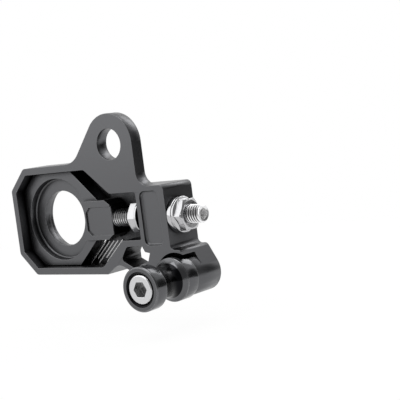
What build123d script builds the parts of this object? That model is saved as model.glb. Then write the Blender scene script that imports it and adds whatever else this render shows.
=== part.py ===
from build123d import *

import os
from math import acos, atan2, cos, hypot, radians, sin, tan

# Chain adjuster for the end of a motorcycle swingarm, left hand side, in millimetres.
# X runs rearwards along the stud, +Z is up, and Y runs inwards, towards the swingarm.
# The origin is on the axle bore's axis, in the plane on which the axle block slides.

# Axle block
axle_diameter = 25.4
axle_clearance = 0.3
nut_recess_radius = 19.1
nut_seat = 3.4
block_rim = 2.7
block_side_rim = 2.4
block_corner = 7.9
block_upper_wall = 4.4227
block_lower_wall = 3.7106
seat_fillet = 0.8
block_thickness = 7.1
block_shoulder_angle = 43.5
block_neck_end = 35.3
block_neck_top = 7.75
block_neck_bottom = -10.0
pad_height = 9.6
pad_pocket_depth = 0.7
pad_pocket_setback = 1.0
pad_pocket_top = 4.7
pad_pocket_bottom = -7.9
pad_pocket_corner = 2.2
pad_end_chamfer = (2.2, 3.0)

# Travel of the block and its clearances
travel = 10.0
slide_clearance = 0.3
end_clearance = 0.7
inner_nut_gap = 1.4
seat_gap = 0.1

# Stud, nuts, washer
stud_diameter = 8.0
stud_z = -1.0
stud_y = -4.4
stud_embed = 11.0
stud_tail = 6.6
stud_chamfer = 0.6
stud_socket = 4.2
stud_socket_depth = 4.0
thread_clearance = 0.05
thread_fit = 0.02
hole_clearance = 0.08
nut_flats = 13.0
inner_nut_height = 6.0
outer_nut_height = 4.9
nut_crown = 0.9
nut_end_ring = 0.7
nut_corner_margin = 0.2
nut_flange_radius = 7.8
nut_flange_rim = 1.0
nut_flange_slope = 0.6
washer_radius = 7.7
washer_thickness = 2.5
washer_bevel = 0.3

# Frame
face_out = 12.0
rim = 3.2
side_rim = 3.0
slot_margin = 2.75
slot_radius = 14.4
floor_thickness = 3.0
frame_corner = 10.0
frame_corner_fillet = 2.5
window_corner = 7.9
ramp_start = 28.0
ramp_length = 24.0
ramp_rise = 4.5
neck_roof = 2.85
neck_roof_wall = 2.2
neck_sill = 0.3
neck_sill_wall = 4.7
upper_shoulder_angle = 40.0
lower_shoulder_angle = 41.0
upper_shoulder_x = 38.2
lower_shoulder_x = 42.4
shoulder_wall = 3.0
back_step_x = 37.5
box_length = 15.9
box_top_fillet = 2.2
plate_thickness = 6.3
panel_margin = 2.2
panel_right_margin = 3.5
panel_depth = 1.2
panel_corner = 2.5
panel_floor_fillet = 0.8

# Ear
ear_x = 41.9
ear_z = 32.1
ear_bore_radius = 6.9
ear_wall = 6.5
ear_slope = 50.3
ear_front_fillet = 10.9
ear_rear_fillet = 6.0

# Arm, web and boss
spool_from_box = 1.4
spool_z = -27.0
boss_radius = 8.8
boss_depth = 3.3
arm_thickness = 11.7
arm_slope = 27.0
arm_start_x = 38.6
arm_arch = 5.5
arm_bar = 2.2
scoop_start_x = 31.2
web_left_from_wall = 4.4
web_left_slope = 68.2
web_foot_from_wall = 0.6
shelf_length = 4.7
shelf_fillet = 2.2
shelf_edge = 2.0
relief_radius = 10.8
relief_depth = 8.3

# Spool and its screw
spool_length = 27.2
spool_radius = 9.4
spool_outer_flange = 6.0
spool_inner_flange = 7.0
spool_neck_radius = 6.3
spool_neck_from_end = 12.0
spool_edge = 0.4
screw_diameter = 8.0
screw_clearance = 0.2
screw_head_radius = 6.2
screw_head_height = 8.0
screw_head_clearance = 0.15
screw_socket = 6.0
screw_socket_depth = 4.0
screw_end_recess = 0.8
screw_seat_bevel = 0.85

# Worked out from the driving sizes
axle_bore_radius = axle_diameter / 2 + axle_clearance
block_half = nut_recess_radius + block_rim
block_left = nut_recess_radius + block_side_rim
shoulder_sin = sin(radians(block_shoulder_angle))
shoulder_cos = cos(radians(block_shoulder_angle))
block_upper_corner_x = (nut_recess_radius + block_upper_wall - block_half * shoulder_cos) / shoulder_sin
block_lower_corner_x = (nut_recess_radius + block_lower_wall + block_neck_bottom * shoulder_cos) / shoulder_sin
pad_pocket_left = nut_recess_radius + pad_pocket_setback
window_half = block_half + slide_clearance
window_left = block_left + slide_clearance
frame_half = window_half + rim
frame_left = window_left + side_rim
window_top = block_neck_top + neck_roof
window_bottom = block_neck_bottom - neck_sill
neck_top = window_top + neck_roof_wall
neck_bottom = window_bottom - neck_sill_wall
stud_radius = stud_diameter / 2
inner_nut_x = block_neck_end + travel + end_clearance
wall_x = inner_nut_x + inner_nut_height + inner_nut_gap
box_right = wall_x + box_length
washer_x = box_right
outer_nut_x = washer_x + washer_thickness + seat_gap
stud_start = block_neck_end - stud_embed
stud_end = outer_nut_x + outer_nut_height + stud_tail
box_in = floor_thickness + ramp_rise
ear_radius = ear_bore_radius + ear_wall
boss_face = boss_depth - face_out
spool_x = box_right + spool_from_box
web_left_x = wall_x + web_left_from_wall
web_foot_x = wall_x + web_foot_from_wall
web_right_x = box_right + shelf_length
screw_radius = screw_diameter / 2
screw_bore_radius = screw_radius + screw_clearance
spool_face = boss_face - spool_length
screw_end = box_in - screw_end_recess


def level(y):
    """Sketch plane at depth y that looks outwards, with X to the right and Z up."""
    return Plane.XZ.offset(-y)


def station(x):
    """Sketch plane across the stud at x, with Y to the right and Z up, that faces rearwards."""
    return Plane(origin=(x, 0, 0), x_dir=(0, 1, 0), z_dir=(1, 0, 0))


def near(sketch, *places):
    """The sketch's corners that lie nearest to the given places."""
    return [sketch.vertices().sort_by_distance((x, z, 0))[0] for x, z in places]


def upper_shoulder(z, wall=0.0):
    """Where the window's upper slanted edge, moved outwards by a wall, is at height z."""
    slope = radians(upper_shoulder_angle)
    return upper_shoulder_x + (window_top - z) / tan(slope) + wall / sin(slope)


def lower_shoulder(z):
    """Where the window's lower slanted edge is at height z."""
    return lower_shoulder_x + (z - window_bottom) / tan(radians(lower_shoulder_angle))


def tangent_point(x, z, radius, slope, side):
    """The point of a circle where a line of this slope touches it, above (1) or below (-1)."""
    a = radians(slope)
    return x - side * radius * sin(a), z + side * radius * cos(a)


# The ear's front edge and the arm's lower edge are lines that touch the ear and the boss.
ear_touch = tangent_point(ear_x, ear_z, ear_radius, ear_slope, 1)
ear_foot_x = ear_touch[0] - (ear_touch[1] - frame_half) / tan(radians(ear_slope))
arm_touch = tangent_point(spool_x, spool_z, boss_radius, -arm_slope, -1)


def arm_edge(x, inset=0.0):
    """Height of the arm's lower edge at x, or of a line inside it by inset."""
    slope = radians(arm_slope)
    return arm_touch[1] + (arm_touch[0] - x) * tan(slope) + inset / cos(slope)


def scoop_edge(x):
    """Height of the octagon's slanted lower edge at x, up to where the arm starts."""
    rise = arm_edge(arm_start_x) + frame_half
    return -frame_half + rise * (x - scoop_start_x) / (arm_start_x - scoop_start_x)


def web_edge(z):
    """Where the web's left edge is at height z."""
    return web_left_x + (z - neck_bottom) / tan(radians(web_left_slope))


def boss_tangent(x, z):
    """The point on the boss's right side that a line from (x, z) above it touches."""
    dx = x - spool_x
    dz = z - spool_z
    angle = atan2(dz, dx) - acos(boss_radius / hypot(dx, dz))
    return spool_x + boss_radius * cos(angle), spool_z + boss_radius * sin(angle)


os.makedirs("parts", exist_ok=True)

# Space above the window's floor. The floor drops along the neck, so that the inner nut has room.
with BuildPart() as window_space:
    with BuildSketch(level(ramp_rise)) as window:
        with BuildLine():
            Polyline(
                (-window_left, window_half - window_corner),
                (-window_left + window_corner, window_half),
                (upper_shoulder(window_half), window_half),
                (upper_shoulder_x, window_top),
                (wall_x, window_top),
                (wall_x, window_bottom),
                (lower_shoulder_x, window_bottom),
                (lower_shoulder(-window_half), -window_half),
                (-window_left + window_corner, -window_half),
                (-window_left, -window_half + window_corner),
                close=True,
            )
        make_face()
        fillet(near(window, (wall_x, window_top), (wall_x, window_bottom)), 1.0)
        fillet(near(window, (lower_shoulder(-window_half), -window_half)), 3.0)
        fillet(near(window, (lower_shoulder_x, window_bottom)), 2.5)
        fillet(near(window, (upper_shoulder(window_half), window_half)), 3.0)
        fillet(near(window, (upper_shoulder_x, window_top)), 2.5)
    extrude(amount=ramp_rise + face_out)
    with BuildSketch() as floor_line:
        with BuildLine():
            Polyline(
                (-frame_left, -face_out),
                (-frame_left, 0),
                (ramp_start, 0),
                (ramp_start + ramp_length, ramp_rise),
                (box_right, ramp_rise),
                (box_right, -face_out),
                close=True,
            )
        make_face()
    extrude(amount=frame_half, both=True, mode=Mode.INTERSECT)

# Frame: octagon, neck, box, ear, arm, web and spool boss, milled from one billet
with BuildPart() as frame:
    with BuildSketch(level(box_in)) as body:
        with BuildLine():
            Polyline(
                (-frame_left, frame_half - frame_corner),
                (-frame_left + frame_corner, frame_half),
                (upper_shoulder(frame_half, shoulder_wall), frame_half),
                (upper_shoulder(neck_top, shoulder_wall), neck_top),
                (box_right, neck_top),
                (box_right, neck_bottom),
                (back_step_x, neck_bottom),
                (back_step_x, scoop_edge(back_step_x)),
                (scoop_start_x, -frame_half),
                (-frame_left + frame_corner, -frame_half),
                (-frame_left, -frame_half + frame_corner),
                close=True,
            )
        make_face()
        fillet(near(body, (box_right, neck_top)), box_top_fillet)
        fillet(near(body, (back_step_x, neck_bottom)), 3.0)
        fillet(
            near(
                body,
                (-frame_left, frame_half - frame_corner),
                (-frame_left + frame_corner, frame_half),
                (-frame_left + frame_corner, -frame_half),
                (-frame_left, -frame_half + frame_corner),
            ),
            frame_corner_fillet,
        )
    extrude(amount=box_in + face_out)

    with BuildSketch(level(box_in)) as web:
        with BuildLine():
            Polyline(
                (web_edge(neck_bottom + shelf_fillet), neck_bottom + shelf_fillet + 1),
                (box_right, neck_bottom + shelf_fillet + 1),
                (box_right, neck_bottom),
                (web_right_x, neck_bottom),
                boss_tangent(web_right_x, neck_bottom),
                arm_touch,
                (web_edge(arm_edge(web_foot_x)), arm_edge(web_foot_x)),
                close=True,
            )
        make_face()
        fillet(near(web, (box_right, neck_bottom)), shelf_fillet)
        fillet(near(web, (web_right_x, neck_bottom)), shelf_edge)
        with Locations((spool_x, spool_z)):
            Circle(boss_radius)
        fillet(near(web, (web_foot_x, arm_edge(web_foot_x))), 3.0)
    extrude(amount=box_in + face_out)

    # The inner side steps back along a ramp from the box to the octagon.
    with BuildSketch() as inner_line:
        with BuildLine():
            Polyline(
                (-frame_left - 1, floor_thickness),
                (ramp_start, floor_thickness),
                (ramp_start + ramp_length, box_in),
                (ramp_start + ramp_length, box_in + 1),
                (-frame_left - 1, box_in + 1),
                close=True,
            )
        make_face()
    extrude(amount=frame_half + 1, both=True, mode=Mode.SUBTRACT)

    # Plate with the ear, above the neck
    with BuildSketch(level(plate_thickness - face_out)) as plate:
        with BuildLine():
            Polyline(
                (0, frame_half),
                (ear_foot_x, frame_half),
                ear_touch,
            )
            RadiusArc(ear_touch, (ear_x + ear_radius, ear_z), ear_radius)
            Polyline(
                (ear_x + ear_radius, ear_z),
                (ear_x + ear_radius, neck_top),
                (box_right - box_top_fillet - 2, neck_top),
                (box_right - box_top_fillet - 2, 0),
                (0, 0),
                (0, frame_half),
            )
        make_face()
        fillet(near(plate, (ear_foot_x, frame_half)), ear_front_fillet)
        fillet(near(plate, (ear_x + ear_radius, neck_top)), ear_rear_fillet)
        with Locations((ear_x, ear_z)):
            Circle(ear_bore_radius, mode=Mode.SUBTRACT)
    extrude(amount=plate_thickness)

    # Arm below the neck, from the octagon to the web
    with BuildSketch(level(arm_thickness - face_out)) as arm:
        with BuildLine():
            Polyline(
                (scoop_start_x, -frame_half),
                (arm_start_x, arm_edge(arm_start_x)),
                (web_left_x + 2, arm_edge(web_left_x + 2)),
                (web_left_x + 2, neck_bottom + 1),
                (scoop_start_x, neck_bottom + 1),
                close=True,
            )
        make_face()
        fillet(near(arm, (arm_start_x, arm_edge(arm_start_x))), arm_arch)
    extrude(amount=arm_thickness)

    add(window_space.part, mode=Mode.SUBTRACT)

    # Slot that lets the axle travel with its block
    with BuildSketch(level(floor_thickness)):
        with Locations(((travel + slot_margin) / 2, 0)):
            SlotCenterToCenter(travel + slot_margin, 2 * slot_radius)
    extrude(amount=floor_thickness, mode=Mode.SUBTRACT)

    # Pocket through the arm, below the neck
    with BuildSketch(level(arm_thickness - face_out)) as pocket:
        upper_left = (wall_x - 9.0, neck_bottom + 1.8)
        upper_right = (wall_x - 0.1, neck_bottom + 2.1)
        notch = (wall_x + 1.3, neck_bottom - 0.6)
        low = (wall_x - 6.1, arm_edge(wall_x - 6.1, arm_bar))
        left = (wall_x - 13.1, arm_edge(wall_x - 13.1, arm_bar))
        with BuildLine():
            Polyline(
                upper_left,
                upper_right,
                notch,
                (web_edge(neck_bottom - 1.1), neck_bottom - 1.1),
                (web_edge(neck_bottom - 4.8), neck_bottom - 4.8),
                low,
                left,
                close=True,
            )
        make_face()
        fillet(near(pocket, notch), 1.5)
        fillet(near(pocket, upper_left, left), 2.0)
        fillet(near(pocket, low), 3.0)
        fillet(near(pocket, upper_right), 0.5)
    extrude(amount=arm_thickness, mode=Mode.SUBTRACT)

    # Room for the spool's inner flange, around the boss
    with BuildSketch(level(relief_depth - face_out)):
        with Locations((spool_x, spool_z)):
            Circle(relief_radius)
            Circle(boss_radius, mode=Mode.SUBTRACT)
    extrude(amount=relief_depth, mode=Mode.SUBTRACT)
    with BuildSketch(level(boss_face)):
        with Locations((spool_x, spool_z)):
            Circle(relief_radius)
    extrude(amount=boss_depth, mode=Mode.SUBTRACT)

    # Sunk panel on the box's outer face
    with BuildSketch(level(panel_depth - face_out)) as panel:
        with BuildLine():
            Polyline(
                (wall_x + panel_margin, neck_top - panel_margin),
                (box_right - panel_right_margin, neck_top - panel_margin),
                (box_right - panel_right_margin, neck_bottom + panel_margin),
                (wall_x + panel_margin, neck_bottom + panel_margin),
                close=True,
            )
        make_face()
        fillet(panel.vertices(), panel_corner)
    extrude(amount=panel_depth, mode=Mode.SUBTRACT)
    panel_y = panel_depth - face_out
    panel_floor = frame.edges().filter_by(Plane.XZ).filter_by_position(Axis.Y, panel_y - 0.01, panel_y + 0.01)
    fillet(panel_floor, panel_floor_fillet)

    with BuildSketch(station(wall_x - 1)):
        with Locations((stud_y, stud_z)):
            Circle(stud_radius + hole_clearance)
    extrude(amount=box_length + 2, mode=Mode.SUBTRACT)

    with BuildSketch(level(box_in)):
        with Locations((spool_x, spool_z)):
            Circle(screw_radius + thread_fit)
    extrude(amount=box_in + face_out, mode=Mode.SUBTRACT)

# Axle block: it slides in the window and carries the axle, its nut and the stud.
with BuildPart() as axle_block:
    slant = tan(radians(block_shoulder_angle))
    with BuildSketch(level(0)) as plan:
        with BuildLine():
            Polyline(
                (-block_left, block_half - block_corner),
                (-block_left + block_corner, block_half),
                (block_upper_corner_x, block_half),
                (block_upper_corner_x + (block_half - block_neck_top) / slant, block_neck_top),
                (block_neck_end, block_neck_top),
                (block_neck_end, block_neck_bottom),
                (block_lower_corner_x, block_neck_bottom),
                (block_lower_corner_x - (block_half + block_neck_bottom) / slant, -block_half),
                (-block_left + block_corner, -block_half),
                (-block_left, -block_half + block_corner),
                close=True,
            )
        make_face()
    extrude(amount=block_thickness)
    with BuildSketch(level(0)) as neck:
        with BuildLine():
            Polyline(
                (0, block_neck_top),
                (block_neck_end, block_neck_top),
                (block_neck_end, block_neck_bottom),
                (0, block_neck_bottom),
                close=True,
            )
        make_face()
    extrude(amount=pad_height)
    tip = axle_block.edges().filter_by(Axis.Y).group_by(Axis.X)[-1].sort_by(Axis.Z)
    chamfer(tip, pad_end_chamfer[0], pad_end_chamfer[1])

    # Round seat for the axle nut, and the axle's bore
    with BuildSketch(level(-nut_seat)):
        Circle(nut_recess_radius)
    extrude(amount=pad_height, mode=Mode.SUBTRACT)
    with BuildSketch(level(0)):
        Circle(axle_bore_radius)
    extrude(amount=nut_seat, mode=Mode.SUBTRACT)
    seat_edges = axle_block.edges().filter_by(GeomType.CIRCLE).filter_by_position(Axis.Y, -nut_seat - 0.01, -nut_seat + 0.01)
    fillet(seat_edges.filter_by(lambda edge: edge.radius > axle_bore_radius + 1), seat_fillet)

    # Shallow bare pocket on the pad, open at the stud's end
    with BuildSketch(level(pad_pocket_depth - pad_height)) as pad_pocket:
        with BuildLine():
            Polyline(
                (pad_pocket_left, pad_pocket_top - pad_pocket_corner),
                (pad_pocket_left + pad_pocket_corner, pad_pocket_top),
                (block_neck_end + 1, pad_pocket_top),
                (block_neck_end + 1, pad_pocket_bottom),
                (pad_pocket_left + pad_pocket_corner, pad_pocket_bottom),
                (pad_pocket_left, pad_pocket_bottom + pad_pocket_corner),
                close=True,
            )
        make_face()
    extrude(amount=pad_pocket_depth, mode=Mode.SUBTRACT)

    with BuildSketch(station(stud_start)):
        with Locations((stud_y, stud_z)):
            Circle(stud_radius + thread_fit)
    extrude(amount=stud_embed + 1, mode=Mode.SUBTRACT)

# Adjuster stud, screwed into the block
with BuildPart() as adjuster_stud:
    with BuildSketch(station(stud_start)):
        with Locations((stud_y, stud_z)):
            Circle(stud_radius)
    extrude(amount=stud_end - stud_start)
    chamfer(adjuster_stud.edges().filter_by(GeomType.CIRCLE), stud_chamfer)
    with BuildSketch(station(stud_end)):
        with Locations((stud_y, stud_z)):
            RegularPolygon(stud_socket / 2, 6, major_radius=False)
    extrude(amount=-stud_socket_depth, mode=Mode.SUBTRACT)


def flange_nut(start, height, flange_side):
    """A hexagon nut with a flange, from x = start, with its flange at the front (-1) or rear (1)."""
    seat = start if flange_side < 0 else start + height
    outwards = -flange_side
    with BuildPart() as nut:
        with BuildSketch(station(seat)):
            with Locations((stud_y, stud_z)):
                RegularPolygon(nut_flats / 2, 6, major_radius=False)
        extrude(amount=outwards * height)
        crown_radius = nut_flats / 2 / cos(radians(30)) + nut_corner_margin
        with BuildSketch(Plane.XY.offset(stud_z)):
            with BuildLine():
                Polyline(
                    (seat, stud_y),
                    (seat, stud_y + crown_radius),
                    (seat + outwards * (height - nut_crown), stud_y + crown_radius),
                    (seat + outwards * height, stud_y + nut_flats / 2 - nut_end_ring),
                    (seat + outwards * height, stud_y),
                    close=True,
                )
            make_face()
        revolve(axis=Axis((0, stud_y, stud_z), (1, 0, 0)), mode=Mode.INTERSECT)
        with BuildSketch(Plane.XY.offset(stud_z)):
            with BuildLine():
                Polyline(
                    (seat, stud_y),
                    (seat, stud_y + nut_flange_radius),
                    (seat + outwards * nut_flange_rim, stud_y + nut_flange_radius),
                    (seat + outwards * (nut_flange_rim + nut_flange_slope), stud_y + nut_flats / 2),
                    (seat + outwards * (nut_flange_rim + nut_flange_slope), stud_y),
                    close=True,
                )
            make_face()
        revolve(axis=Axis((0, stud_y, stud_z), (1, 0, 0)))
        with BuildSketch(station(seat)):
            with Locations((stud_y, stud_z)):
                Circle(stud_radius + thread_clearance)
        extrude(amount=outwards * height, mode=Mode.SUBTRACT)
    return nut.part


inner_nut = flange_nut(inner_nut_x, inner_nut_height, 1)
outer_nut = flange_nut(outer_nut_x, outer_nut_height, -1)

with BuildPart() as outer_washer:
    with BuildSketch(station(washer_x)):
        with Locations((stud_y, stud_z)):
            Circle(washer_radius)
            Circle(stud_radius + hole_clearance, mode=Mode.SUBTRACT)
    extrude(amount=washer_thickness)
    chamfer(outer_washer.edges().filter_by(GeomType.CIRCLE).sort_by(SortBy.RADIUS)[-2:], washer_bevel)

# Spool: a turned bobbin that a paddock stand's fork lifts
spool_axis = Axis((spool_x, 0, spool_z), (0, 1, 0))
with BuildPart() as spool:
    with BuildSketch(Plane.XY.offset(spool_z)):
        bore = spool_x + screw_bore_radius
        seat_edge = spool_x + screw_head_radius + screw_head_clearance
        waist = (spool_x + spool_neck_radius, boss_face - spool_neck_from_end)
        outer_corner = (spool_x + spool_radius, spool_face + spool_outer_flange)
        inner_corner = (spool_x + spool_radius, boss_face - spool_inner_flange)
        with BuildLine():
            Polyline(
                inner_corner,
                (spool_x + spool_radius, boss_face - spool_edge),
                (spool_x + spool_radius - spool_edge, boss_face),
                (bore, boss_face),
                (bore, spool_face + screw_head_height),
                (seat_edge, spool_face + screw_head_height),
                (seat_edge, spool_face + screw_seat_bevel),
                (seat_edge + screw_seat_bevel, spool_face),
                (spool_x + spool_radius - spool_edge, spool_face),
                (spool_x + spool_radius, spool_face + spool_edge),
                outer_corner,
            )
            TangentArc(waist, outer_corner, tangent=(0, -1))
            TangentArc(waist, inner_corner, tangent=(0, 1))
        make_face()
    revolve(axis=spool_axis)

# Cap screw of the spool, with its head sunk flush in the spool's outer end
with BuildPart() as spool_screw:
    with BuildSketch(level(screw_end)):
        with Locations((spool_x, spool_z)):
            Circle(screw_radius)
    extrude(amount=screw_end - spool_face - screw_head_height)
    with BuildSketch(level(spool_face + screw_head_height)):
        with Locations((spool_x, spool_z)):
            Circle(screw_head_radius)
    extrude(amount=screw_head_height)
    chamfer(spool_screw.edges().filter_by(GeomType.CIRCLE).group_by(Axis.Y)[0], 0.5)
    with BuildSketch(level(spool_face)):
        with Locations((spool_x, spool_z)):
            RegularPolygon(screw_socket / 2, 6, major_radius=False)
    extrude(amount=-screw_socket_depth, mode=Mode.SUBTRACT)

frame.part.label = "frame"
axle_block.part.label = "axle_block"
adjuster_stud.part.label = "adjuster_stud"
inner_nut.label = "inner_flange_nut"
outer_washer.part.label = "outer_washer"
outer_nut.label = "outer_flange_nut"
spool.part.label = "spool"
spool_screw.part.label = "spool_screw"

export_step(frame.part, "parts/frame.step")
export_step(axle_block.part, "parts/axle_block.step")
export_step(adjuster_stud.part, "parts/adjuster_stud.step")
export_step(inner_nut, "parts/inner_flange_nut.step")
export_step(outer_washer.part, "parts/outer_washer.step")
export_step(outer_nut, "parts/outer_flange_nut.step")
export_step(spool.part, "parts/spool.step")
export_step(spool_screw.part, "parts/spool_screw.step")
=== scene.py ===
# %% [markdown]
# # Chain adjuster with a sliding axle block
#
# The object sits at the end of a motorcycle's swingarm. The rear axle goes through a block that
# slides in a window, and a threaded stud with two flange nuts sets where the block stands, which
# sets how tight the chain is. A spool on a boss takes the hook of a paddock stand.
#
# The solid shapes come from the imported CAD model. This script gives them a camera, a plain
# studio, finishes, softened edges, a real screw thread and the engraved graduation.

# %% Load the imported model
from math import cos, pi, radians, sin

import bmesh
import bpy
from mathutils import Matrix, Vector


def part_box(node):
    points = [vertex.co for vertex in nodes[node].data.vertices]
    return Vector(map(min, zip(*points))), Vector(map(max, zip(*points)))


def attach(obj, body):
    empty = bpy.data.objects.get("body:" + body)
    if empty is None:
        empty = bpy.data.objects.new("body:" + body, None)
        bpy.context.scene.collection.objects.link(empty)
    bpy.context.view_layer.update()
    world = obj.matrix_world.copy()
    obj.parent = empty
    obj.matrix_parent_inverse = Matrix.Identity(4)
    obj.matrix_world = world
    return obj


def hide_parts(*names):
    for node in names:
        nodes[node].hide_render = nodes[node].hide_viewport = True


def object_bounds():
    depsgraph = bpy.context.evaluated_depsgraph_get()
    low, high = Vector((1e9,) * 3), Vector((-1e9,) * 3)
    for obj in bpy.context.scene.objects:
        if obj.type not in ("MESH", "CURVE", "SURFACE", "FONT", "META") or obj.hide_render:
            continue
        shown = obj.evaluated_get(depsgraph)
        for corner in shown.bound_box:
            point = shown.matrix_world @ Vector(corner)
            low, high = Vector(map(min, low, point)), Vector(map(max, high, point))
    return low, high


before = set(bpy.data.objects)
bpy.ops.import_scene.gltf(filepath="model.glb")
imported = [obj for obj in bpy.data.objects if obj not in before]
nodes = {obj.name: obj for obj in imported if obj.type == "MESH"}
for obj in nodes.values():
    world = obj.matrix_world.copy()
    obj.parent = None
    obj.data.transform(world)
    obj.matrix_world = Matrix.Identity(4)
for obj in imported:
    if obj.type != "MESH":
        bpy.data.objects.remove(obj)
cad_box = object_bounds()
scene = bpy.context.scene
MM = 0.001
print("parts:", ", ".join(sorted(nodes)))
print("box in mm:", [[round(value / MM, 1) for value in corner] for corner in cad_box])

# %% [markdown]
# ## Camera
#
# A camera is fully known from a few numbers: the direction it looks in, its roll, its distance,
# its focal length, and where its axis meets the picture. They were fitted beforehand, so that the
# model's edges fall on the object's edges. The axis meets the picture left of the middle, and the
# lens shift does that without turning the camera, so upright edges keep their slant.
#
# Places in the picture are in pixels, from its left edge and from its top. The centre of the
# bore, in the plane of the plate's outer face, ties the camera to the object.

# %% Place the camera
PICTURE = 400
azimuth, elevation, roll = radians(40.77), radians(5.42), radians(7.47)
distance = 468.4 * MM
focal_pixels = 1011
axis_u, axis_v = 157.8, 221.2
bore_u, bore_v = 51.8, 221.1
bore_centre = Vector((0, -12 * MM, 0))

right = Vector((cos(azimuth), sin(azimuth), 0))
look = Vector((-sin(azimuth) * cos(elevation), cos(azimuth) * cos(elevation), -sin(elevation)))
level_up = right.cross(look)
camera_x = cos(roll) * right - sin(roll) * level_up
camera_y = sin(roll) * right + cos(roll) * level_up
across = (bore_u - axis_u) / focal_pixels * distance
upward = (axis_v - bore_v) / focal_pixels * distance
place = bore_centre - (across * camera_x + upward * camera_y + distance * look)

lens = bpy.data.cameras.new("Camera")
lens.sensor_width = 36
lens.lens = focal_pixels / PICTURE * lens.sensor_width
lens.shift_x = 0.5 - axis_u / PICTURE
lens.shift_y = axis_v / PICTURE - 0.5
lens.clip_start = 10 * MM
camera = bpy.data.objects.new("Camera", lens)
turn = Matrix((camera_x, camera_y, -look)).transposed()
camera.matrix_world = Matrix.Translation(place) @ turn.to_4x4()
scene.collection.objects.link(camera)
scene.camera = camera
scene.view_settings.view_transform = "Standard"
print("camera at", [round(value, 3) for value in place], "lens", round(lens.lens, 1))

# %% [markdown]
# ## Building node trees
#
# Blender lets you draw node trees by hand or build them from a script. A few small helpers keep
# the scripted trees short. They add a node, a sum, a change of range or a mix of colours, or start
# a group with named inputs and outputs, which appear as sliders wherever the group is placed.

# %% Helpers that add nodes
def add(tree, kind, **settings):
    """A new node with these settings."""
    node = tree.nodes.new(kind)
    for name, value in settings.items():
        setattr(node, name, value)
    return node


def feed(tree, target, value):
    """Sets an input to a plain value, or links another node's output to it."""
    if isinstance(value, bpy.types.NodeSocket):
        tree.links.new(value, target)
    else:
        target.default_value = value


def calc(tree, operation, *values, clamp=False):
    """The output of a Math node."""
    node = add(tree, "ShaderNodeMath", operation=operation, use_clamp=clamp)
    for target, value in zip(node.inputs, values):
        feed(tree, target, value)
    return node.outputs[0]


def vector_calc(tree, operation, *values, out="Vector"):
    """The output of a Vector Math node."""
    node = add(tree, "ShaderNodeVectorMath", operation=operation)
    for target, value in zip(node.inputs, values):
        feed(tree, target, value)
    return node.outputs[out]


def ramp(tree, value, first, last, at_first=0.0, at_last=1.0, curve="LINEAR"):
    """Changes a value from one range to another, and holds it at both ends."""
    node = add(tree, "ShaderNodeMapRange", interpolation_type=curve)
    names = ("Value", "From Min", "From Max", "To Min", "To Max")
    for title, number in zip(names, (value, first, last, at_first, at_last)):
        feed(tree, node.inputs[title], number)
    return node.outputs["Result"]


def tint(tree, amount, plain, other):
    """Mixes two colours by an amount. Each is a colour or another node's output."""
    node = add(tree, "ShaderNodeMix", data_type="RGBA")
    feed(tree, node.inputs["Factor"], amount)
    for target, colour in ((node.inputs["A"], plain), (node.inputs["B"], other)):
        feed(tree, target, colour if isinstance(colour, bpy.types.NodeSocket) else (*colour, 1))
    return node.outputs["Result"]


print("helpers for nodes: add, feed, calc, vector_calc, ramp, tint")

# %% Helpers for groups and materials
def new_group(name, kind, inputs, outputs):
    """A node group with named inputs and outputs. Returns it with both ends."""
    tree = bpy.data.node_groups.new(name, kind)
    for title, socket, value in inputs:
        item = tree.interface.new_socket(title, in_out="INPUT", socket_type=socket)
        if value is not None:
            item.default_value = value
    for title, socket in outputs:
        tree.interface.new_socket(title, in_out="OUTPUT", socket_type=socket)
    start = add(tree, "NodeGroupInput").outputs
    end = add(tree, "NodeGroupOutput").inputs
    return tree, start, end


def use_group(tree, group, **values):
    """Places a shader group in a tree and sets its inputs by name."""
    node = add(tree, "ShaderNodeGroup", node_tree=group)
    for title, value in values.items():
        feed(tree, node.inputs[title.replace("_", " ")], value)
    return node.outputs


def plain_material(name):
    """An empty node material. Returns it with its tree."""
    material = bpy.data.materials.new(name)
    material.use_nodes = True
    material.node_tree.nodes.clear()
    return material, material.node_tree


print("helpers for groups and materials: new_group, use_group, plain_material")

# %% Helpers for geometry trees
def split_position(tree):
    """The x, y and z of each point."""
    node = add(tree, "ShaderNodeSeparateXYZ")
    feed(tree, node.inputs[0], add(tree, "GeometryNodeInputPosition").outputs[0])
    return node.outputs


def combine(tree, *values):
    """A vector made of three values."""
    node = add(tree, "ShaderNodeCombineXYZ")
    for target, value in zip(node.inputs, values):
        feed(tree, target, value)
    return node.outputs[0]


def move_points(tree, geometry, position):
    """Puts each point of a geometry at a new place."""
    node = add(tree, "GeometryNodeSetPosition")
    feed(tree, node.inputs["Geometry"], geometry)
    feed(tree, node.inputs["Position"], position)
    return node.outputs[0]


def coat(tree, geometry, material):
    """Turns instances into real geometry and gives it a material."""
    real = add(tree, "GeometryNodeRealizeInstances")
    feed(tree, real.inputs["Geometry"], geometry)
    node = add(tree, "GeometryNodeSetMaterial")
    feed(tree, node.inputs["Geometry"], real.outputs[0])
    feed(tree, node.inputs["Material"], material)
    return node.outputs[0]


print("helpers for geometry: split_position, combine, move_points, coat")

# %% [markdown]
# ## Studio
#
# Dark polished metal shows its surroundings more than its own colour, so the studio matters as
# much as the finish. The walls are nearly white, but almost black towards the rear and grey
# towards the right front, which gives the faces that look that way their depth. The world can do
# this by direction, with no walls to build. The camera itself always sees white.
#
# Each dark side has a direction, then two cosines: where it begins, and from where on it is as
# dark as it gets. Its last number is the brightness there.

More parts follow.
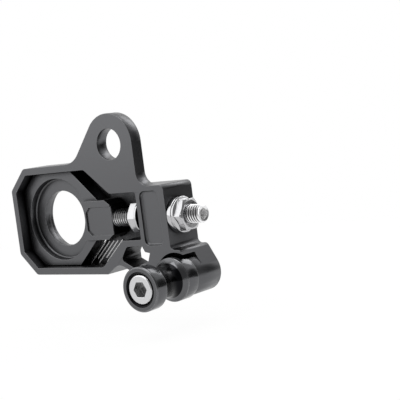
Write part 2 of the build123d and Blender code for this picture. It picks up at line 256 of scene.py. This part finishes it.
# %% World
WALL = 0.95
dark_sides = {
    "rear": (Vector((0.66, 0.75, 0.0)).normalized(), 0.84, 0.97, 0.06),
    "right_front": (Vector((0.92, -0.38, 0.05)).normalized(), 0.2, 0.7, 0.25),
}
world = bpy.data.worlds.new("Studio")
scene.world = world
world.use_nodes = True
tree = world.node_tree
tree.nodes.clear()
direction = add(tree, "ShaderNodeTexCoord").outputs["Generated"]
ray = add(tree, "ShaderNodeLightPath").outputs
brightness = WALL
for toward, begins, full, darkest in dark_sides.values():
    facing = vector_calc(tree, "DOT_PRODUCT", direction, toward, out="Value")
    side = ramp(tree, facing, begins, full, WALL, darkest, curve="SMOOTHSTEP")
    brightness = calc(tree, "MINIMUM", side, brightness)
brightness = calc(tree, "MAXIMUM", brightness, ray["Is Camera Ray"])
sky = add(tree, "ShaderNodeBackground")
sky.inputs["Color"].default_value = (1, 1, 1, 1)
feed(tree, sky.inputs["Strength"], brightness)
tree.links.new(sky.outputs[0], add(tree, "ShaderNodeOutputWorld").inputs["Surface"])
print("world: white, with dark sides", list(dark_sides))

# %% [markdown]
# ## Floor
#
# The floor is pale and matt. The camera and the polished metal see it mostly as plain white,
# mixed with a little of its lit surface, so that the picture has a clean background and a soft
# shadow stays.

# %% Floor
PAPER = (0.88, 0.88, 0.88, 1)
WHITE_SHARE = 0.96
REACH = 0.3
GAP_BELOW = 12 * MM
height = cad_box[0].z - GAP_BELOW

floor_paint, tree = plain_material("floor_paper")
paper = add(tree, "ShaderNodeBsdfDiffuse")
paper.inputs["Color"].default_value = PAPER
glow = add(tree, "ShaderNodeEmission")
ray = add(tree, "ShaderNodeLightPath").outputs
seen = calc(tree, "ADD", ray["Is Camera Ray"], ray["Is Glossy Ray"], clamp=True)
seen = calc(tree, "ADD", seen, ray["Is Transmission Ray"], clamp=True)
blend = add(tree, "ShaderNodeMixShader")
feed(tree, blend.inputs[0], calc(tree, "MULTIPLY", seen, WHITE_SHARE))
tree.links.new(paper.outputs[0], blend.inputs[1])
tree.links.new(glow.outputs[0], blend.inputs[2])
tree.links.new(blend.outputs[0], add(tree, "ShaderNodeOutputMaterial").inputs["Surface"])

floor_mesh = bpy.data.meshes.new("floor")
corners = [(REACH * x, REACH * y, height) for x, y in ((-1, -1), (1, -1), (1, 1), (-1, 1))]
floor_mesh.from_pydata(corners, [], [(0, 1, 2, 3)])
floor_mesh.materials.append(floor_paint)
floor = bpy.data.objects.new("floor", floor_mesh)
scene.collection.objects.link(floor)
print("floor at", round(height / MM, 1), "mm")

# %% [markdown]
# ## Lamps
#
# Three large soft lamps: one high at the front left, one overhead, and one high behind that draws
# bright bands along the rounded upper edges. Their size is what makes the light soft.

# %% Lamps
def soft_lamp(name, position, target, size, power):
    """A square area lamp that faces a target. Its side is in metres and its power in watts."""
    data = bpy.data.lights.new(name, "AREA")
    data.size = size
    data.energy = power
    lamp = bpy.data.objects.new(name, data)
    lamp.location = position
    aim = target - Vector(position)
    lamp.rotation_euler = aim.to_track_quat("-Z", "Y").to_euler()
    scene.collection.objects.link(lamp)


middle = (cad_box[0] + cad_box[1]) / 2
soft_lamp("front_left", (-0.55, -0.75, 0.55), middle, size=1.2, power=4)
soft_lamp("overhead", (0.05, -0.10, 0.90), middle, size=0.7, power=4)
soft_lamp("behind", (0.10, 0.80, 0.70), middle, size=0.5, power=1.7)
print("lamps:", [light.name for light in bpy.data.lights])

# %% [markdown]
# ## Finish groups
#
# Four effects are kept as shader groups, so that any finish can use them. The grain is what glass
# beads leave on aluminium before it is anodised. Turned rings are the fine grooves of a lathe tool.
# The edge group finds where a surface bends sharply, by comparing its true direction with one that is
# rounded off, and lets corners shine: its lighter colour is partly rubbed metal and partly a painted
# highlight. The last group finds where little of the room is in sight, as in the window, and darkens
# the colour there, which is painted shade. Their sizes are in millimetres.

# %% Grain of blasted aluminium
grain, start, end = new_group(
    "Blasted grain",
    "ShaderNodeTree",
    [("Grain Size", "NodeSocketFloat", 0.4), ("Cloud Size", "NodeSocketFloat", 14.0)],
    [("Height", "NodeSocketFloat"), ("Cloud", "NodeSocketFloat")],
)
spot = add(grain, "ShaderNodeTexCoord").outputs["Object"]
for title, size, detail in (("Height", start["Grain Size"], 4.0), ("Cloud", start["Cloud Size"], 3.0)):
    noise = add(grain, "ShaderNodeTexNoise")
    feed(grain, noise.inputs["Vector"], spot)
    feed(grain, noise.inputs["Scale"], calc(grain, "DIVIDE", 1 / MM, size))
    feed(grain, noise.inputs["Detail"], detail)
    feed(grain, end[title], noise.outputs["Fac"])
print(grain.name, "with", len(grain.nodes), "nodes")

# %% Rings of a lathe tool
rings, start, end = new_group(
    "Turned rings",
    "ShaderNodeTree",
    [
        ("Centre", "NodeSocketVector", (0, 0, 0)),
        ("Axis", "NodeSocketVector", (0, 1, 0)),
        ("Groove Pitch", "NodeSocketFloat", 0.3),
    ],
    [("Height", "NodeSocketFloat"), ("Radius", "NodeSocketFloat"), ("Along", "NodeSocketFloat")],
)
spot = add(rings, "ShaderNodeTexCoord").outputs["Object"]
arm = vector_calc(rings, "SUBTRACT", spot, start["Centre"])
along = vector_calc(rings, "DOT_PRODUCT", arm, start["Axis"], out="Value")
outwards = vector_calc(rings, "CROSS_PRODUCT", arm, start["Axis"])
radius = vector_calc(rings, "LENGTH", outwards, out="Value")
path = calc(rings, "ADD", along, radius)
groove_pitch = calc(rings, "MULTIPLY", start["Groove Pitch"], MM)
wobble = add(rings, "ShaderNodeTexNoise", noise_dimensions="1D")
feed(rings, wobble.inputs["W"], calc(rings, "DIVIDE", path, groove_pitch))
feed(rings, wobble.inputs["Scale"], 1.0)
feed(rings, wobble.inputs["Detail"], 2.0)
feed(rings, end["Height"], wobble.outputs["Fac"])
feed(rings, end["Radius"], calc(rings, "DIVIDE", radius, MM))
feed(rings, end["Along"], calc(rings, "DIVIDE", along, MM))
print(rings.name, "with", len(rings.nodes), "nodes")

# %% Edges: rubbed, with a painted highlight
edges, start, end = new_group(
    "Rubbed and highlighted edges",
    "ShaderNodeTree",
    [
        ("Width", "NodeSocketFloat", 0.3),
        ("Strength", "NodeSocketFloat", 1.0),
        ("Contrast", "NodeSocketFloat", 6.0),
    ],
    [("Mask", "NodeSocketFloat")],
)
rounded = add(edges, "ShaderNodeBevel", samples=6)
feed(edges, rounded.inputs["Radius"], calc(edges, "MULTIPLY", start["Width"], MM))
sharp = add(edges, "ShaderNodeNewGeometry").outputs["Normal"]
match = vector_calc(edges, "DOT_PRODUCT", rounded.outputs["Normal"], sharp, out="Value")
bend = calc(edges, "MULTIPLY", calc(edges, "SUBTRACT", 1.0, match), start["Strength"])
feed(edges, end["Mask"], calc(edges, "MULTIPLY", bend, start["Contrast"], clamp=True))
print(edges.name, "with", len(edges.nodes), "nodes")

# %% Painted shade in hollow places
hollow_shade, start, end = new_group(
    "Hollows",
    "ShaderNodeTree",
    [
        ("Reach", "NodeSocketFloat", 9.0),
        ("Open Share", "NodeSocketFloat", 0.68),
        ("Contrast", "NodeSocketFloat", 6.0),
    ],
    [("Mask", "NodeSocketFloat")],
)
# Painted shade: this mask makes the colour darker where little of the room is in sight.
shelter = add(hollow_shade, "ShaderNodeAmbientOcclusion", samples=8)
feed(hollow_shade, shelter.inputs["Distance"], calc(hollow_shade, "MULTIPLY", start["Reach"], MM))
hidden = calc(hollow_shade, "SUBTRACT", start["Open Share"], shelter.outputs["AO"])
feed(hollow_shade, end["Mask"], calc(hollow_shade, "MULTIPLY", hidden, start["Contrast"], clamp=True))
print(hollow_shade.name, "with", len(hollow_shade.nodes), "nodes")

# %% [markdown]
# ## Finishes
#
# Anodised aluminium is a metal under a thin dyed layer, so it is a metallic shader with a dark
# colour: it mirrors the studio at about a tenth of its strength, and brighter at a flat angle.
# Roughness spreads that mirror image. Plated steel is the same shader with a light colour.

# %% What all finishes share
EDGE_WIDTH = 0.3
CLOUD_LOW, CLOUD_HIGH = 0.3, 0.7
RELIEF = 0.05 * MM
REARWARDS = (1, 0, 0)
INWARDS = (0, 1, 0)


def finish(
    name,
    colour,
    edge_colour,
    rough,
    spread,
    bump,
    metal=1.0,
    rub_and_highlight=1.0,
    turned=None,
    painted_shade_places=(),
    painted_shade=None,
):
    """A metal finish: lighter edges, partly rubbed and partly a painted highlight, cloudy roughness,
    and a grained or turned surface.

    Spread is how far the clouds change the roughness. Turned gives a lathe's axis: a point on it, its
    direction and the pitch of the grooves. The shade colour is painted shade for the listed places,
    which need that axis. Each begins at one radius and is full at the next, and the same along the
    axis, in millimetres from the point. Without such places, it is painted shade where little of the
    room is in sight.
    """
    material, tree = plain_material(name)
    shader = add(tree, "ShaderNodeBsdfPrincipled")
    shader.inputs["Metallic"].default_value = metal
    cover = use_group(tree, grain)
    rubbed_and_lit_edges = use_group(tree, edges, Width=EDGE_WIDTH * rub_and_highlight, Strength=rub_and_highlight)
    # Lighter edges: partly rubbed metal, partly a painted highlight.
    paint = tint(tree, rubbed_and_lit_edges["Mask"], colour, edge_colour)
    clouded = ramp(tree, cover["Cloud"], CLOUD_LOW, CLOUD_HIGH, rough - spread, rough + spread)
    tree.links.new(clouded, shader.inputs["Roughness"])
    height = cover["Height"]
    if turned:
        centre, axis, pitch = turned
        lathe = use_group(tree, rings, Centre=centre, Axis=axis, Groove_Pitch=pitch)
        height = lathe["Height"]
    # Painted shade: the colour is darkened in the listed recesses.
    for outer, inner, shallow, bottom in painted_shade_places:
        inside = ramp(tree, lathe["Radius"], outer, inner)
        depth = ramp(tree, lathe["Along"], shallow, bottom)
        paint = tint(tree, calc(tree, "MULTIPLY", inside, depth), paint, painted_shade)
    # Painted shade: darker where little of the room is in sight.
    if painted_shade and not painted_shade_places:
        paint = tint(tree, use_group(tree, hollow_shade)["Mask"], paint, painted_shade)
    tree.links.new(paint, shader.inputs["Base Color"])
    relief = add(tree, "ShaderNodeBump")
    feed(tree, relief.inputs["Strength"], bump)
    feed(tree, relief.inputs["Distance"], RELIEF)
    feed(tree, relief.inputs["Height"], height)
    tree.links.new(relief.outputs["Normal"], shader.inputs["Normal"])
    tree.links.new(shader.outputs[0], add(tree, "ShaderNodeOutputMaterial").inputs["Surface"])
    return material


def centre_of(name):
    """The middle of a CAD node's box."""
    low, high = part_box(name)
    return (Vector(low) + Vector(high)) / 2


spool_centre = centre_of("spool")
stud_centre = centre_of("adjuster_stud")
for centre in (spool_centre, stud_centre):
    print("lathe axis through", [round(value / MM, 1) for value in centre], "mm")

# %% Anodised finishes
# Its near-black colour in enclosed places is painted shade; its lighter edges are partly a painted
# highlight.
satin_black = finish(
    "satin_black_anodised",
    colour=(0.112, 0.113, 0.118),
    edge_colour=(0.30, 0.30, 0.31),
    rough=0.32,
    spread=0.03,
    bump=0.25,
    painted_shade=(0.020, 0.020, 0.021),
)
# Painted shade: the colour turns nearly black within 7.35 mm of the spool's axis. Its bright edge
# lines are partly a painted highlight.
turned_black = finish(
    "turned_black_anodised",
    colour=(0.110, 0.111, 0.116),
    edge_colour=(0.85, 0.85, 0.86),
    rough=0.18,
    spread=0.03,
    bump=0.20,
    rub_and_highlight=1.8,
    turned=(spool_centre, INWARDS, 0.35),
    painted_shade_places=[(7.45, 7.35, -40.0, -39.0)],
    painted_shade=(0.008, 0.008, 0.009),
)
print("black finishes:", satin_black.name, turned_black.name)

# %% Steel and bare metal finishes
turned_steel = finish(
    "turned_plated_steel",
    colour=(0.50, 0.50, 0.51),
    edge_colour=(0.92, 0.92, 0.92),
    rough=0.17,
    spread=0.04,
    bump=0.35,
    turned=(stud_centre, REARWARDS, 0.30),
)
# Painted shade: the colour is darker grey inside the screw's hexagon socket.
screw_steel = finish(
    "plated_screw_steel",
    colour=(0.60, 0.60, 0.61),
    edge_colour=(0.92, 0.92, 0.92),
    rough=0.24,
    spread=0.05,
    bump=0.35,
    turned=(spool_centre, INWARDS, 0.30),
    painted_shade_places=[(3.75, 3.65, -13.5, -9.5)],
    painted_shade=(0.32, 0.32, 0.32),
)
# Painted light: the thread is lighter than the nuts' steel, to make up for the light it misses between
# black walls. The dark colour at its roots and in its hexagon socket is painted shade.
thread_steel_painted_bright = finish(
    "rolled_thread_steel",
    colour=(0.90, 0.90, 0.91),
    edge_colour=(0.95, 0.95, 0.95),
    rough=0.28,
    spread=0.05,
    bump=0.1,
    turned=(stud_centre, REARWARDS, 0.5),
    painted_shade_places=[(3.85, 3.50, 28.6, 28.4), (2.80, 2.70, 29.3, 29.2)],
    painted_shade=(0.03, 0.03, 0.03),
)
bare_metal = finish(
    "bare_engraved_aluminium",
    colour=(0.88, 0.88, 0.88),
    edge_colour=(0.95, 0.95, 0.95),
    rough=0.45,
    spread=0.05,
    bump=0.2,
    metal=0.2,
)
print("other finishes:", [made.name for made in (turned_steel, screw_steel, thread_steel_painted_bright, bare_metal)])

# %% [markdown]
# ## Running gap
#
# The block slides on the window's floor on a film of grease, and passes over the graduation. A
# small Geometry Nodes modifier lifts its back by a few hundredths of a millimetre, so that it
# clears the marks. The mesh itself stays as it came.

# %% Running gap under the block
gap_tree, start, end = new_group(
    "Running gap",
    "GeometryNodeTree",
    [("Geometry", "NodeSocketGeometry", None), ("Gap", "NodeSocketFloat", 0.035 * MM)],
    [("Geometry", "NodeSocketGeometry")],
)
x, y, z = split_position(gap_tree)
limit = calc(gap_tree, "MULTIPLY", start["Gap"], -1.0)
lifted = combine(gap_tree, x, calc(gap_tree, "MINIMUM", y, limit), z)
feed(gap_tree, end["Geometry"], move_points(gap_tree, start["Geometry"], lifted))
nodes["axle_block"].modifiers.new("running_gap", "NODES").node_group = gap_tree
print("running gap:", len(gap_tree.nodes), "nodes")

# %% [markdown]
# ## Softened edges
#
# No machined edge is perfectly sharp. A small bevel catches the light as a thin line, which is
# how the eye reads an edge on a black part. The CAD meshes arrive as loose triangles, so a Weld
# modifier joins them first, and a Bevel modifier then rounds only edges that bend sharply. The
# list gives each node its finish and the width of its bevel.

# %% Finish the CAD nodes
JOIN_DISTANCE = 0.002 * MM
SHARP_BEND = radians(32)


def soften(piece, width):
    """Joins the triangles of a CAD node and rounds its sharp edges."""
    weld = piece.modifiers.new("join_triangles", "WELD")
    weld.merge_threshold = JOIN_DISTANCE
    bevel = piece.modifiers.new("soft_edges", "BEVEL")
    bevel.width = width
    bevel.segments = 2
    bevel.limit_method = "ANGLE"
    bevel.angle_limit = SHARP_BEND
    bevel.use_clamp_overlap = False
    bevel.harden_normals = True


finishes = {
    "frame": (satin_black, 0.18 * MM),
    "axle_block": (satin_black, 0.22 * MM),
    "spool": (turned_black, 0.20 * MM),
    "spool_screw": (screw_steel, 0.25 * MM),
    "inner_flange_nut": (turned_steel, 0.15 * MM),
    "outer_flange_nut": (turned_steel, 0.15 * MM),
    "outer_washer": (turned_steel, 0.15 * MM),
}
for name, (material, width) in finishes.items():
    piece = nodes[name]
    for holder in piece.material_slots:
        holder.material = material
    soften(piece, width)
    print(name, material.name)

# %% [markdown]
# ## Screw thread
#
# The stud is a bright M8 screw. Its thread is one ridge that winds round the core, so a rule can
# draw it: a flat grid is rolled into a tube, each step along a row moves it on by one part of the
# pitch, and the radius rises and falls once per pitch. Geometry Nodes do this on every point at
# once, and the pitch, depth and ends stay adjustable. Points pushed past an end are held there,
# and merge into a clean rim.

# %% Thread tree
STEPS = 8
thread, start, end = new_group(
    "Rolled thread",
    "GeometryNodeTree",
    [
        ("Start", "NodeSocketFloat", 0.0),
        ("End", "NodeSocketFloat", 50 * MM),
        ("Radius", "NodeSocketFloat", 4 * MM),
        ("Depth", "NodeSocketFloat", 0.6 * MM),
        ("Pitch", "NodeSocketFloat", 1.25 * MM),
        ("End Bevel", "NodeSocketFloat", 0.7 * MM),
        ("Columns", "NodeSocketInt", 40),
        ("Material", "NodeSocketMaterial", None),
    ],
    [("Geometry", "NodeSocketGeometry")],
)
length = calc(thread, "SUBTRACT", start["End"], start["Start"])
turns = calc(thread, "CEIL", calc(thread, "ADD", calc(thread, "DIVIDE", length, start["Pitch"]), 1.0))
rows = calc(thread, "MULTIPLY", turns, STEPS)
sheet = add(thread, "GeometryNodeMeshGrid")
feed(thread, sheet.inputs["Vertices X"], calc(thread, "ADD", rows, 1.0))
feed(thread, sheet.inputs["Vertices Y"], calc(thread, "ADD", start["Columns"], 1.0))
flat = split_position(thread)
row = calc(thread, "ROUND", calc(thread, "MULTIPLY", calc(thread, "ADD", flat["X"], 0.5), rows))
column = calc(thread, "ADD", flat["Y"], 0.5)
pitches = calc(thread, "DIVIDE", row, float(STEPS))
wound = calc(thread, "SUBTRACT", calc(thread, "ADD", pitches, column), 1.0)
free = calc(thread, "ADD", start["Start"], calc(thread, "MULTIPLY", wound, start["Pitch"]))
axial = calc(thread, "MINIMUM", calc(thread, "MAXIMUM", free, start["Start"]), start["End"])
print("thread: rows per pitch", STEPS)

# %% Ridge and ends of the thread
# Shares of half a pitch: a flat root, then the flank. The rest is the flat crest.
ROOT = 0.25
FLANK = 0.6
MERGE_DISTANCE = 0.004 * MM

phase = calc(thread, "FRACT", pitches)
crest = calc(thread, "ABSOLUTE", calc(thread, "SUBTRACT", calc(thread, "MULTIPLY", phase, 2.0), 1.0))
ridge = calc(thread, "DIVIDE", calc(thread, "SUBTRACT", crest, ROOT), FLANK, clamp=True)
cut = calc(thread, "MULTIPLY", calc(thread, "SUBTRACT", 1.0, ridge), start["Depth"])
ridge_radius = calc(thread, "SUBTRACT", start["Radius"], cut)
rim_radius = calc(thread, "SUBTRACT", start["Radius"], start["End Bevel"])
from_start = calc(thread, "ADD", rim_radius, calc(thread, "SUBTRACT", axial, start["Start"]))
from_end = calc(thread, "ADD", rim_radius, calc(thread, "SUBTRACT", start["End"], axial))
radius = calc(thread, "MINIMUM", ridge_radius, calc(thread, "MINIMUM", from_start, from_end))
angle = calc(thread, "MULTIPLY", column, 2 * pi)
side = calc(thread, "MULTIPLY", radius, calc(thread, "COSINE", angle))
up = calc(thread, "MULTIPLY", radius, calc(thread, "SINE", angle))
rolled = move_points(thread, sheet.outputs["Mesh"], combine(thread, axial, side, up))
merge = add(thread, "GeometryNodeMergeByDistance")
feed(thread, merge.inputs["Geometry"], rolled)
feed(thread, merge.inputs["Distance"], MERGE_DISTANCE)
feed(thread, end["Geometry"], coat(thread, merge.outputs[0], start["Material"]))
print("thread tree:", len(thread.nodes), "nodes")

# %% [markdown]
# ## From a tree to a plain piece
#
# A modifier runs the tree on an empty object. Its inputs are set by their identifiers. The
# result is then copied as a plain mesh, which can be edited further and exported, and the
# modifier goes away.

# %% Stud
def grow(name, tree, **values):
    """Runs a geometry tree and returns its result as a plain object."""
    host = bpy.data.objects.new(name, bpy.data.meshes.new(name))
    scene.collection.objects.link(host)
    modifier = host.modifiers.new(name, "NODES")
    modifier.node_group = tree
    for item in tree.interface.items_tree:
        title = item.name.replace(" ", "_")
        if item.item_type == "SOCKET" and item.in_out == "INPUT" and title in values:
            modifier[item.identifier] = values[title]
    graph = bpy.context.evaluated_depsgraph_get()
    made = bpy.data.meshes.new_from_object(host.evaluated_get(graph))
    host.modifiers.remove(modifier)
    host.data = made
    return host


low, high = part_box("adjuster_stud")
stud = grow(
    "threaded_stud",
    thread,
    Start=low[0],
    End=high[0],
    Radius=3.99 * MM,
    Depth=0.62 * MM,
    Pitch=1.25 * MM,
    End_Bevel=0.7 * MM,
    Columns=40,
    Material=thread_steel_painted_bright,
)
print("thread:", len(stud.data.vertices), "points")

# %% [markdown]
# ## Ends of the stud
#
# The tube is open at both ends. The front end is hidden in the block and gets a flat lid. The
# tail end gets a hexagon socket a little below its rim, and a ring of faces joins the two.

# %% Close both ends
NEAR_TAIL = 1 * MM
COUNTERSINK = 0.2 * MM
END_FACE = 0.9
SMOOTH_BEND = radians(38)


def close_stud(mesh, tail, flats, depth):
    """Fills the front end, and gives the tail end a hexagon socket."""
    body = bmesh.new()
    body.from_mesh(mesh)
    rim = [edge for edge in body.edges if edge.is_boundary]
    tail_rim = [edge for edge in rim if edge.verts[0].co.x > tail - NEAR_TAIL]
    front_rim = [edge for edge in rim if edge not in tail_rim]
    bmesh.ops.edgeloop_fill(body, edges=front_rim)
    corner_radius = flats / 2 / cos(radians(30))
    mouth, bottom = [], []
    for step in range(6):
        turned = radians(60 * step + 30)
        side, up = corner_radius * cos(turned), corner_radius * sin(turned)
        mouth.append(body.verts.new((tail - COUNTERSINK, side, up)))
        bottom.append(body.verts.new((tail - depth, side, up)))
    mouth_rim = []
    for step in range(6):
        following = (step + 1) % 6
        body.faces.new((mouth[step], mouth[following], bottom[following], bottom[step]))
        mouth_rim.append(body.edges.get((mouth[step], mouth[following])))
    body.faces.new(bottom)
    bmesh.ops.bridge_loops(body, edges=tail_rim + mouth_rim)
    bmesh.ops.recalc_face_normals(body, faces=body.faces)
    for face in body.faces:
        face.smooth = len(face.verts) == 4 and abs(face.normal.x) < END_FACE
    for edge in body.edges:
        edge.smooth = len(edge.link_faces) == 2 and edge.calc_face_angle(0) < SMOOTH_BEND
    open_edges = sum(edge.is_boundary for edge in body.edges)
    body.to_mesh(mesh)
    body.free()
    return open_edges


print("open edges:", close_stud(stud.data, high[0], flats=4.4 * MM, depth=4.0 * MM))
stud_line = Vector((0, (low[1] + high[1]) / 2, (low[2] + high[2]) / 2))
stud.data.transform(Matrix.Translation(stud_line))
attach(stud, "carrier")
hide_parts("adjuster_stud")

# %% [markdown]
# ## Graduation
#
# Five slanted marks stand beside the block, long and short in turn, so that both sides of the
# wheel can be set alike. On the real object they are engraved through the black layer. Here they
# are bright bars as thin as foil on the window's floor. One bar, copied along a line of points
# and scaled by whether its number is odd, makes them all.

# %% Graduation tree
marks, start, end = new_group(
    "Graduation",
    "GeometryNodeTree",
    [
        ("Count", "NodeSocketInt", 5),
        ("First", "NodeSocketVector", (0, 0, 0)),
        ("Step", "NodeSocketVector", (3 * MM, 0, 0)),
        ("Long", "NodeSocketFloat", 15 * MM),
        ("Short", "NodeSocketFloat", 12 * MM),
        ("Width", "NodeSocketFloat", 0.4 * MM),
        ("Thickness", "NodeSocketFloat", 0.03 * MM),
        ("Slant", "NodeSocketFloat", radians(42)),
        ("Material", "NodeSocketMaterial", None),
    ],
    [("Geometry", "NodeSocketGeometry")],
)
line = add(marks, "GeometryNodeMeshLine", mode="OFFSET")
feed(marks, line.inputs["Count"], start["Count"])
feed(marks, line.inputs["Start Location"], start["First"])
feed(marks, line.inputs["Offset"], start["Step"])
bar = add(marks, "GeometryNodeMeshCube")
feed(marks, bar.inputs["Size"], combine(marks, 1.0, start["Thickness"], start["Width"]))
hung = add(marks, "GeometryNodeTransform")
feed(marks, hung.inputs["Geometry"], bar.outputs["Mesh"])
feed(marks, hung.inputs["Translation"], (-0.5, 0, 0))
print("graduation: one bar, hung by its end")

# %% Copies of the bar
number = add(marks, "GeometryNodeInputIndex").outputs[0]
odd = calc(marks, "MODULO", number, 2.0)
extra = calc(marks, "MULTIPLY", odd, calc(marks, "SUBTRACT", start["Short"], start["Long"]))
bar_scale = combine(marks, calc(marks, "ADD", start["Long"], extra), 1.0, 1.0)
bar_turn = combine(marks, 0.0, calc(marks, "MULTIPLY", start["Slant"], -1.0), 0.0)
copies = add(marks, "GeometryNodeInstanceOnPoints")
feed(marks, copies.inputs["Points"], line.outputs[0])
feed(marks, copies.inputs["Instance"], hung.outputs[0])
feed(marks, copies.inputs["Rotation"], bar_turn)
feed(marks, copies.inputs["Scale"], bar_scale)
feed(marks, end["Geometry"], coat(marks, copies.outputs[0], start["Material"]))
print("graduation tree:", len(marks.nodes), "nodes")

# %% Graduation marks
graduation = grow(
    "graduation_marks",
    marks,
    Count=5,
    First=(21.0 * MM, -0.01 * MM, -12.27 * MM),
    Step=(2.68 * MM, 0, 0.19 * MM),
    Long=15.2 * MM,
    Short=12.0 * MM,
    Width=0.55 * MM,
    Thickness=0.03 * MM,
    Slant=radians(42),
    Material=bare_metal,
)
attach(graduation, "root")
print("marks:", len(graduation.data.polygons) // 6)
